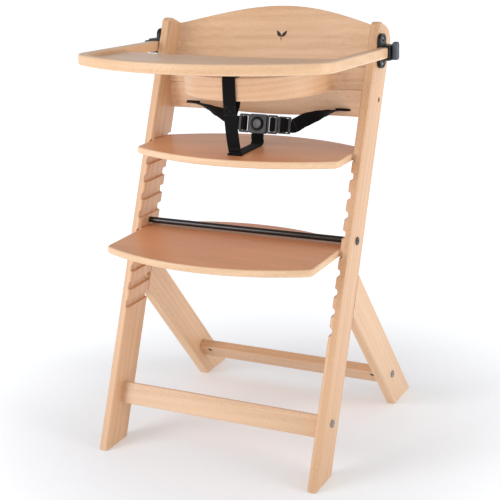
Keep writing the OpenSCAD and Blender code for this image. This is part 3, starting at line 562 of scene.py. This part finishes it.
def stacked(name, material, levels, place):  # a closed piece; a level is (width, height, corner, depth)
    bm = bmesh.new()
    rings = [roundedRing(bm, *level) for level in levels]
    n = len(rings[0])
    for a, b in zip(rings, rings[1:]):
        for i in range(n):
            bm.faces.new((a[i], a[(i + 1) % n], b[(i + 1) % n], b[i]))
    bm.faces.new(rings[0][::-1])
    bm.faces.new(rings[-1])
    bm.transform(place)
    bmesh.ops.recalc_face_normals(bm, faces=bm.faces)
    mesh = bpy.data.meshes.new(name)
    bm.to_mesh(mesh)
    bm.free()
    mesh.shade_smooth()
    mesh.set_sharp_from_angle(angle=radians(48))
    mesh.materials.append(material)
    return addObject(name, mesh)


knob = {"wide": 0.0155, "tall": 0.033, "thick": 0.0095, "corner": 0.0045, "round": 0.0018,
        "hub": 0.0115, "rise": 0.0005, "sunk": 0.0007, "turnLeft": 90}


def grip(side, node, body, turn):
    lo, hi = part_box(node)
    inner = lo.x if side > 0 else -hi.x
    middle = (lo + hi) / 2
    w, t, c, r, d = knob["wide"], knob["tall"], knob["corner"], knob["round"], knob["thick"]
    hub, rise = (knob["hub"], knob["hub"], knob["hub"] / 2 - 0.0001), knob["rise"]

    def over(turn, depth):  # a level on the rounding from the back to the sides to the face
        wider = r * sin(radians(turn))
        return (w - 2 * r + 2 * wider, t - 2 * r + 2 * wider, c - r + wider, depth - r * cos(radians(turn)))

    levels = [hub + (0,), hub + (rise,), (w - 2 * r, t - 2 * r, c - r + 0.0004, rise)]
    levels += [over(v, rise + r) for v in (22, 45, 68, 90)] + [over(v, d - r) for v in (90, 112, 135, 158, 180)]
    levels += [(w - 2 * r - 0.003, t - 2 * r - 0.003, c - r, d),
               (w - 2 * r - 0.0042, t - 2 * r - 0.0042, c - r, d - knob["sunk"])]  # sunk panel in its face
    out = Matrix(((0, 0, side, side * inner), (side, 0, 0, middle.y), (0, 1, 0, middle.z), (0, 0, 0, 1)))
    piece = stacked(node + "_block", paint["knobPlastic"], levels, out @ Matrix.Rotation(radians(turn), 4, "Z"))
    settle(piece, body, "knob_grey", node)


grip(-1, "clamp_knob_left", "knob_left", knob["turnLeft"])
grip(1, "clamp_knob_right", "knob_right", 0)


def dress(node, finish):  # a CAD node that keeps its shape
    piece = nodes[node]
    if not piece.material_slots:
        piece.data.materials.append(paint[finish])
    for place in piece.material_slots:
        place.material = paint[finish]


for node in ("backrest_screws", "panel_screws", "clamp_screws", "knob_stud_left", "knob_stud_right",
             "button_spring"):
    dress(node, "zincSteel")
for node in ("leg_dowels", "stretcher_dowels", "rail_dowels"):
    dress(node, "dowelBeech")
print("fittings finished")


def turned(name, material, profile, place):  # a turned piece; the profile is (radius, height)
    bm = bmesh.new()
    rings, sides = [], 48
    for radius, height in profile:
        spots = [2 * pi * i / sides for i in range(sides)] if radius > 1e-6 else [0]
        rings.append([bm.verts.new((radius * cos(a), radius * sin(a), height)) for a in spots])
    for a, b in zip(rings, rings[1:]):
        for i in range(sides):
            j = (i + 1) % sides
            corner = [a[i % len(a)], a[j % len(a)], b[j % len(b)], b[i % len(b)]]
            bm.faces.new([v for k, v in enumerate(corner) if v not in corner[:k]])
    bm.transform(place)
    bmesh.ops.recalc_face_normals(bm, faces=bm.faces)
    mesh = bpy.data.meshes.new(name)
    bm.to_mesh(mesh)
    bm.free()
    mesh.shade_smooth()
    mesh.set_sharp_from_angle(angle=radians(40))
    mesh.materials.append(material)
    return addObject(name, mesh)


def middleOf(node):
    lo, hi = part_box(node)
    return (lo + hi) / 2


tube = {"radius": 0.006, "wall": 0.0014, "chamfer": 0.0006}
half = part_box("tie_tube")[1].x
r, c, inner = tube["radius"], tube["chamfer"], tube["radius"] - tube["wall"]
tubeLine = [(inner, -half), (r - c, -half), (r, -half + c), (r, half - c), (r - c, half), (inner, half),
            (inner, -half)]
piece = turned("tie_tube_painted", paint["tubePaint"], tubeLine,
               Matrix.Translation(middleOf("tie_tube")) @ Matrix.Rotation(pi / 2, 4, "Y"))
settle(piece, "frame", "tube_black", "tie_tube")

buckleAt = Matrix.Translation(middleOf("buckle_housing")) @ Matrix.Rotation(-tilt, 4, "X")
faceOn = buckleAt @ Matrix.Translation((0, -0.0065, 0)) @ Matrix.Rotation(pi / 2, 4, "X")  # heights forward


def ofBuckle(x, y, z):  # a point in the tilted buckle's own directions
    return buckleAt @ Vector((x, y, z))


collar = {"inner": 0.00885, "outer": 0.0137, "height": 0.0015}
a, b, h = collar["inner"], collar["outer"], collar["height"]
collarLine = [(a, -0.0008), (a, h - 0.0004), (a + 0.0004, h), (b - 0.0012, h), (b - 0.0003, h - 0.0004),
              (b, -0.0002), (b, -0.0008), (a, -0.0008)]
piece = turned("buckle_collar", paint["collarPlastic"], collarLine, faceOn)
settle(piece, "frame", "black_plastic")
button = {"radius": 0.0085, "dish": 0.0007, "height": 0.0012}
a, d, h = button["radius"], button["dish"], button["height"]
buttonLine = [(0, h - d), (a * 0.35, h - d * 0.93), (a * 0.58, h - d * 0.5), (a * 0.72, h - 0.0001),
              (a * 0.84, h), (a * 0.95, h - 0.0002), (a, h - 0.0007), (a, -0.003), (0, -0.003)]
piece = turned("buckle_button_dished", paint["buttonPlastic"], buttonLine, faceOn)
settle(piece, "button", "button_grey", "buckle_button")
print("tube and buckle turned")


def smoothed(stations, step):  # (point, width, up, run) along stations of (point, width's direction)
    points = [Vector(p) for p, _ in stations]
    wides = [Vector(w).normalized() for _, w in stations]
    last = len(points) - 1
    gaps = [(points[i + 1] - points[i]).length for i in range(last)]
    heads = []
    for i in range(last + 1):
        apart = gaps[max(i - 1, 0)] * (i > 0) + gaps[min(i, last - 1)] * (i < last)
        heads.append((points[min(i + 1, last)] - points[max(i - 1, 0)]) / apart)
    path = []
    for i in range(last):
        count = max(2, int(gaps[i] / step))
        for k in range(count + (i == last - 1)):
            t = k / count
            t2, t3 = t * t, t * t * t
            p = (points[i] * (2 * t3 - 3 * t2 + 1) + heads[i] * gaps[i] * (t3 - 2 * t2 + t)
                 + points[i + 1] * (3 * t2 - 2 * t3) + heads[i + 1] * gaps[i] * (t3 - t2))
            path.append((p, wides[i].lerp(wides[i + 1], 3 * t2 - 2 * t3)))
    frames, run = [], 0.0
    for i, (p, wide) in enumerate(path):
        ahead = (path[min(i + 1, len(path) - 1)][0] - path[max(i - 1, 0)][0]).normalized()
        up = ahead.cross(wide).normalized()
        if i:
            run += (p - path[i - 1][0]).length
        frames.append((p, up.cross(ahead).normalized(), up, run))
    return frames


def strap(name, stations, width=webbing["width"], step=0.0022):
    frames = smoothed(stations, step)
    w, t = width / 2, webbing["thick"] / 2
    upper = [(w - t, t), (w * 0.5, t), (0, t), (-w * 0.5, t), (t - w, t), (0.25 * t - w, 0.66 * t), (-w, 0)]
    section = upper + [(-x, -y) for x, y in upper]
    bm = bmesh.new()
    sheet = bm.loops.layers.uv.new("UVMap")
    rings = [[bm.verts.new(p + wide * x + up * y) for x, y in section] for p, wide, up, run in frames]
    n = len(section)
    for k in range(len(rings) - 1):
        for i in range(n):
            j = (i + 1) % n
            f = bm.faces.new((rings[k][i], rings[k][j], rings[k + 1][j], rings[k + 1][i]))
            for loop, (s, q) in zip(f.loops, ((k, i), (k, j), (k + 1, j), (k + 1, i))):
                loop[sheet].uv = (frames[s][3], section[q][0])
    for ring, at in ((rings[0], 0), (rings[-1], -1)):
        f = bm.faces.new(ring)
        for loop, q in zip(f.loops, section):
            loop[sheet].uv = (frames[at][3] + q[1], q[0])
    bmesh.ops.recalc_face_normals(bm, faces=bm.faces)
    mesh = bpy.data.meshes.new(name)
    bm.to_mesh(mesh)
    bm.free()
    mesh.shade_smooth()
    mesh.set_sharp_from_angle(angle=radians(50))
    mesh.materials.append(paint["webbing"])
    return addObject(name, mesh), frames


def onStrap(frames, run, across, lift):  # a point over a strap's face
    at = min(frames, key=lambda f: abs(f[3] - run))
    return at[0] + at[1] * across + at[2] * lift


def makeStitchTree():  # a stitch at every step along rows of edges
    tree = bpy.data.node_groups.new("stitchRows", "GeometryNodeTree")
    tree.interface.new_socket("Geometry", in_out="INPUT", socket_type="NodeSocketGeometry")
    for label in ("Stitch Length", "Gap", "Thread"):
        tree.interface.new_socket(label, in_out="INPUT", socket_type="NodeSocketFloat")
    tree.interface.new_socket("Material", in_out="INPUT", socket_type="NodeSocketMaterial")
    tree.interface.new_socket("Geometry", in_out="OUTPUT", socket_type="NodeSocketGeometry")
    given, out = tree.nodes.new("NodeGroupInput").outputs, tree.nodes.new("NodeGroupOutput").inputs
    rows = put(tree, "GeometryNodeMeshToCurve", {}, {0: given["Geometry"]}).outputs[0]
    spots = put(tree, "GeometryNodeCurveToPoints", {"mode": "LENGTH"},
                {"Curve": rows, "Length": calc(tree, "ADD", given["Stitch Length"], given["Gap"])}).outputs
    size = put(tree, "ShaderNodeCombineXYZ", {}, {0: given["Thread"], 1: given["Thread"],
               2: calc(tree, "MULTIPLY", given["Stitch Length"], 0.5)}).outputs[0]
    ball = put(tree, "GeometryNodeMeshUVSphere", {}, {"Segments": 6, "Rings": 4, "Radius": 1.0}).outputs[0]
    stitch = put(tree, "GeometryNodeTransform", {}, {"Geometry": ball, "Scale": size}).outputs[0]
    placed = put(tree, "GeometryNodeInstanceOnPoints", {}, {"Points": spots["Points"], "Instance": stitch,
                                                           "Rotation": spots["Rotation"]}).outputs[0]
    solid = put(tree, "GeometryNodeRealizeInstances", {}, {0: placed}).outputs[0]
    done = put(tree, "GeometryNodeSetMaterial", {}, {"Geometry": solid, "Material": given["Material"]})
    tree.links.new(done.outputs[0], out["Geometry"])
    return tree


stitchTree = makeStitchTree()
stitching = {"Stitch Length": 0.0025, "Gap": 0.0010, "Thread": 0.00034}


def sewing(name, rows):
    mesh = bpy.data.meshes.new(name)
    corners = [p for row in rows for p in row]
    links, start = [], 0
    for row in rows:
        links += [(start + i, start + i + 1) for i in range(len(row) - 1)]
        start += len(row)
    mesh.from_pydata(corners, links, [])
    obj = addObject(name, mesh)
    rowsOn = obj.modifiers.new("stitches", "NODES")
    rowsOn.node_group = stitchTree
    sockets = {s.name: s.identifier for s in stitchTree.interface.items_tree if s.in_out == "INPUT"}
    for label, value in stitching.items():
        rowsOn[sockets[label]] = value
    rowsOn[sockets["Material"]] = paint["thread"]
    frozen(obj)
    obj.data.shade_smooth()
    return obj


def boxRows(frames, start, end, half, lift):  # a sewn box with its cross
    corners = [(start, -half), (end, -half), (end, half), (start, half), (start, -half)]
    rows = []
    lines = list(zip(corners, corners[1:])) + [((start, -half), (end, half)), ((start, half), (end, -half))]
    for (s0, v0), (s1, v1) in lines:
        rows.append([onStrap(frames, s0 + (s1 - s0) * k / 12, v0 + (v1 - v0) * k / 12, lift) for k in range(13)])
    return rows


def acrossRow(frames, run, half, lift):
    return [onStrap(frames, run, half * (k / 4 - 1), lift) for k in range(9)]


def joined(obj, extra):  # extra's faces added to obj, with their own material
    bm = bmesh.new()
    bm.from_mesh(obj.data)
    own = len(bm.faces)
    bm.from_mesh(extra.data)
    bm.faces.ensure_lookup_table()
    for f in bm.faces[own:]:
        f.material_index = 1
    bm.to_mesh(obj.data)
    bm.free()
    obj.data.materials.append(paint["thread"])
    bpy.data.objects.remove(extra)


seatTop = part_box("seat_plate")[1].z
lift = webbing["thick"] / 2 + 0.00012
panel = {"front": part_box("lower_back_panel")[0].y, "thick": 0.014}
crotch = {"x": 0.0105, "gap": 0.0013, "foldWidth": 0.0295}
x0, g, rf, rz, rt = crotch["x"], crotch["gap"], railLo.y, railLo.z, railHi.z
rb = rf + bowR - sqrt((bowR - panel["thick"]) ** 2 - (x0 + webbing["width"] / 2) ** 2)  # rail is as thick
loopPoints = [(rf + 0.0024, rz - 0.030), (rf + 0.003, rz - 0.024), (rb - 0.002, rz - 0.010), (rb + g, rz),
              (rb + g, rt + 0.0003), (rb + 0.0003, rt + g), (rf - 0.0003, rt + g), (rf - g, rt + 0.0003),
              (rf - g, rz), (rf + 0.001, seatTop + 0.066), (rf + 0.005, seatTop + 0.036),
              (rf + 0.010, seatTop + 0.014), (rf + 0.0125, seatTop + 0.0052)]
piece, frames = strap("crotch_strap_over_rail", [((x0, y, z), (1, 0, 0)) for y, z in loopPoints])
whole = frames[-1][3]
downAt = min(frames[len(frames) // 2:], key=lambda f: abs(f[0].z - (rz - 0.010)))[3]
rows = boxRows(frames, downAt, downAt + 0.017, 0.0105, lift)
rows += [acrossRow(frames, whole - s, 0.011, lift) for s in (0.006, 0.009)]
joined(piece, sewing("crotch_stitches", rows))
settle(piece, "frame", "webbing", "crotch_strap_front")

low, end = ofBuckle(0, 0, -0.0245), ofBuckle(0, 0, -0.0188)
foot = [(0.017, 0.0009), (0.010, 0.0009), (0.0085, 0.0019), (0.0098, 0.0031), (0.0155, 0.0033)]
foot = [((x0, rf + y, seatTop + z), (1, 0, 0)) for y, z in foot]
fold, frames = strap("crotch_strap_fold", foot, width=crotch["foldWidth"], step=0.0008)
joined(fold, sewing("fold_stitches", [acrossRow(frames, frames[-1][3] - 0.003, 0.012, lift)]))
settle(fold, "frame", "webbing")
run = [(x0, rf + 0.015, seatTop + g), (x0, rf + 0.040, seatTop + g), (x0, low.y - 0.011, seatTop + g),
       (x0 - 0.0003, low.y - 0.0045, seatTop + g + 0.0012), (x0 - 0.0005, low.y - 0.0018, seatTop + g + 0.0050),
       (x0 - 0.0007, low.y - 0.0002, seatTop + g + 0.0080), (x0 - 0.0008, low.y - 0.0022, seatTop + g + 0.0105),
       (x0 - 0.0009, low.y - 0.0001, seatTop + g + 0.0130), tuple(low + Vector((0, -0.0012, 0))), tuple(end)]
piece, frames = strap("crotch_strap_on_seat", [(p, (1, 0, 0)) for p in run], step=0.0012)
rows = [acrossRow(frames, frames[-1][3] - s, 0.011, lift) for s in (0.0035, 0.0062, 0.0105)]
rows += [[onStrap(frames, 0.004 + k * 0.003, v, lift) for k in range(9)] for v in (-0.0105, 0.0105)]
joined(piece, sewing("seat_stitches", rows))
settle(piece, "frame", "webbing", "crotch_strap_rear")

lap = {"loopX": 0.0188, "loopW": 0.022, "adjusterX": 0.042, "adjusterW": 0.026}


def lapBelt(side, node):
    reach = lap["adjusterX"] + lap["adjusterW"] if side > 0 else lap["loopX"] + lap["loopW"]
    end = ofBuckle(side * (reach + 0.0004), 0, 0)
    mouth = Vector((side * slot["x"], panel["front"], slot["z"]))
    out = mouth - end
    line = [(end, 0), (end + Vector((side * 0.006, 0, 0)), 0)]
    line += [(end + Vector((out.x * x, out.y * y, out.z * z)), twist) for x, y, z, twist in (
        (0.27, 0.20, 0.38, 10), (0.50, 0.37, 0.66, 30), (0.70, 0.55, 0.86, 50), (0.85, 0.71, 0.96, 68),
        (0.955, 0.85, 1.0, 82))]
    line += [(mouth + Vector((0, y, 0)), 90) for y in (-0.003, 0.004, panel["thick"] + 0.001)]
    stations = []
    for i, (p, twist) in enumerate(line):  # upright at the buckle, flat in the slot
        ahead = line[min(i + 1, len(line) - 1)][0] - line[max(i - 1, 0)][0]
        ahead.z = 0
        ahead.normalize()
        flat = Vector((ahead.y, -ahead.x, 0)) * side
        upright = Vector((0, sin(tilt), cos(tilt))).lerp(Vector((0, 0, 1)), min(1, i / 5))
        stations.append((p, upright * cos(radians(twist)) + flat * sin(radians(twist))))
    piece, frames = strap(node + "_webbing", stations)
    front = -lift if side < 0 else lift
    if side < 0:
        rows = boxRows(frames, 0.006, 0.022, 0.0105, front)
    else:
        rows = [acrossRow(frames, s, 0.011, front) for s in (0.008, 0.011)]
    joined(piece, sewing(node + "_stitches", rows))
    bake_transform(piece)
    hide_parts(node)


lapBelt(-1, "lap_belt_left")
lapBelt(1, "lap_belt_right")


def throughTongue(side, body, outer):  # webbing round a tongue's bar, on the right through the slide
    line = [(0.0184, 0.0009), (0.0162, 0.0022), (0.013, 0.0040), (0.009, 0.0040), (0.0066, 0.0018),
            (0.0064, -0.0015), (0.0074, -0.0037), (0.0102, -0.0041), (0.0132, -0.0038), (0.0162, -0.0012),
            (0.0192, -0.0001), (0.0224, 0)] + outer
    wide = (0, sin(tilt), cos(tilt))
    stations = [(ofBuckle(side * (lap["loopX"] + u), y, 0), wide) for u, y in line]
    settle(strap(body + "_webbing", stations, step=0.0012)[0], body, "webbing")


throughTongue(-1, "tongue_left", [])
throughTongue(1, "tongue_right", [(0.0252, 0.0004), (0.0295, -0.0012), (0.0326, -0.0029), (0.0362, -0.0031),
                                  (0.0398, -0.0029), (0.0430, -0.0012), (0.0465, -0.0001), (0.0496, 0)])


def foldedEnd(side, label):  # the belt's end behind the panel, folded four times and sewn
    x, y, z0 = side * slot["x"], panel["front"] + panel["thick"], slot["z"]
    line = []
    for k, z in enumerate((-0.0033, -0.0011, 0.0011, 0.0033)):
        ends = (y + 0.0026, y + 0.0086) if k % 2 == 0 else (y + 0.0086, y + 0.0026)
        line += [((x, back, z0 + z), (1, 0, 0)) for back in ends]
    piece, frames = strap("belt_end_" + label, line, step=0.0012)
    rows = [[Vector((x + v, y + 0.0032 + 0.00045 * k, z0 + 0.0033 + lift)) for k in range(13)]
            for v in (-0.0105, 0, 0.0105)]
    joined(piece, sewing("end_stitches_" + label, rows))
    return piece


leftEnd, rightEnd = foldedEnd(-1, "left"), foldedEnd(1, "right")
settle(leftEnd, "frame", "webbing", "belt_stops")
settle(rightEnd, "frame", "webbing")
print("harness laid and sewn")

sprout = {"x": 0.001, "below": 0.016, "length": 0.0165, "wide": 0.0034, "rise": 0.55, "stem": 0.0085,
          "thick": 0.00028}
back = {"sag": 0.032, "front": 0.041}  # the backrest's hollow, and how far its ends are set back


def onBackrest(x, t, lift):  # a point over the backrest's hollow front, t above the posts' tops along them
    r = (innerX * innerX + back["sag"] ** 2) / (2 * back["sag"])
    u = back["front"] + back["sag"] - r + sqrt(r * r - x * x) - lift
    up = postHigh / cos(lean) + t
    return Vector((x, u * cos(lean) + up * sin(lean) - postFoot, -u * sin(lean) + up * cos(lean)))


def printedLeaf(bm, start, angle, length, wide, curve):
    rows, steps = [], 14
    for k in range(steps + 1):
        f = k / steps
        bend = angle + curve * f
        cx, ct = start[0] + length * f * cos(bend), start[1] + length * f * sin(bend)
        w = wide * sin(pi * f ** 0.8) + 0.0001
        rows.append([bm.verts.new(onBackrest(cx - sin(bend) * w * v, ct + cos(bend) * w * v, sprout["thick"]))
                     for v in (-1, 0, 1)])
    for a, b in zip(rows, rows[1:]):
        for i in range(2):
            bm.faces.new((a[i], a[i + 1], b[i + 1], b[i]))


bm = bmesh.new()
base = (sprout["x"], -sprout["below"])
printedLeaf(bm, base, sprout["rise"], sprout["length"], sprout["wide"], 0.3)
printedLeaf(bm, base, pi - sprout["rise"], sprout["length"], sprout["wide"], -0.3)
printedLeaf(bm, (base[0], base[1] - sprout["stem"]), pi / 2 - 0.12, sprout["stem"] * 1.1, 0.0007, 0.2)
bmesh.ops.recalc_face_normals(bm, faces=bm.faces)
if sum(f.normal.y for f in bm.faces) > 0:
    bmesh.ops.reverse_faces(bm, faces=bm.faces)
bmesh.ops.solidify(bm, geom=bm.faces[:], thickness=sprout["thick"] * 1.5)
bmesh.ops.recalc_face_normals(bm, faces=bm.faces)
mesh = bpy.data.meshes.new("sprout_mark")
bm.to_mesh(mesh)
bm.free()
mesh.materials.append(paint["leafInk"])
settle(addObject("sprout_mark", mesh), "frame", "dark_steel")
print("mark printed")

studio = {"view": "Standard", "world": 0.56, "horizon": 1.0, "floorTone": 0.88, "floorSize": 400,
          "glowNear": 0.16, "glowMiddle": 0.42, "glowFar": 0.60}
bpy.context.scene.view_settings.view_transform = studio["view"]


def makeFloor():  # pale floor that glows as painted light, least near the chair where the low glow stands for its shadow, with a bluish tint against the warm bounce from the wood
    made, tree, shader = startMaterial("studioFloor")
    at = put(tree, "ShaderNodeTexCoord", {}, {}).outputs["Object"]
    tone = studio["floorTone"]
    color = mixed(tree, noisy(tree, at, 1.5, 2), (tone * 0.955, tone * 0.995, tone * 1.05, 1),
                  (tone * 0.94, tone * 0.98, tone * 1.035, 1))
    tree.links.new(color, shader.inputs["Base Color"])
    shader.inputs["Roughness"].default_value = 0.9
    shader.inputs["Specular IOR Level"].default_value = 0.1
    away = put(tree, "ShaderNodeVectorMath", {"operation": "LENGTH"}, {0: at}).outputs["Value"]
    shader.inputs["Emission Color"].default_value = (1, 1, 1, 1)
    # painted light: the floor's glow rises away from the chair, its dimmer middle a painted shadow under the
    # chair
    paintedGlow = calc(tree, "ADD", spread(tree, away, 0.28, 0.78, studio["glowNear"], studio["glowMiddle"]),
                spread(tree, away, 0.6, 2.4, 0.0, studio["glowFar"] - studio["glowMiddle"]))
    tree.links.new(paintedGlow, shader.inputs["Emission Strength"])
    mesh = bpy.data.meshes.new("studio_floor")
    s, below = studio["floorSize"], -0.0004
    mesh.from_pydata([(-s, -s, below), (s, -s, below), (s, s, below), (-s, s, below)], [], [(0, 1, 2, 3)])
    mesh.materials.append(made)
    return addObject("studio_floor", mesh)


makeFloor()
lights = {  # place, aim, width, watts
    "keyLeft": ((-1.9, -2.3, 1.35), (0, 0, 0.45), 1.6, 37),
    "fillRight": ((2.7, -0.1, 1.1), (0, 0, 0.45), 1.4, 24),
}
for name, (place, aim, width, watts) in lights.items():
    lamp = bpy.data.lights.new(name, "AREA")
    lamp.shape = "SQUARE"
    lamp.size = width
    lamp.energy = watts
    holder = addObject(name, lamp)
    holder.location = place
    holder.rotation_euler = (Vector(aim) - Vector(place)).to_track_quat("-Z", "Y").to_euler()
world = bpy.data.worlds.new("studioWorld")
bpy.context.scene.world = world
world.use_nodes = True
sky = world.node_tree.nodes["Background"]
sky.inputs[0].default_value = (1, 1, 1, 1)
height = put(world.node_tree, "ShaderNodeTexCoord", {}, {}).outputs["Generated"]
height = put(world.node_tree, "ShaderNodeSeparateXYZ", {}, {0: height}).outputs[2]
strength = spread(world.node_tree, height, 0.04, 0.3, studio["horizon"], studio["world"])
world.node_tree.links.new(strength, sky.inputs[1])

print("scene ready")
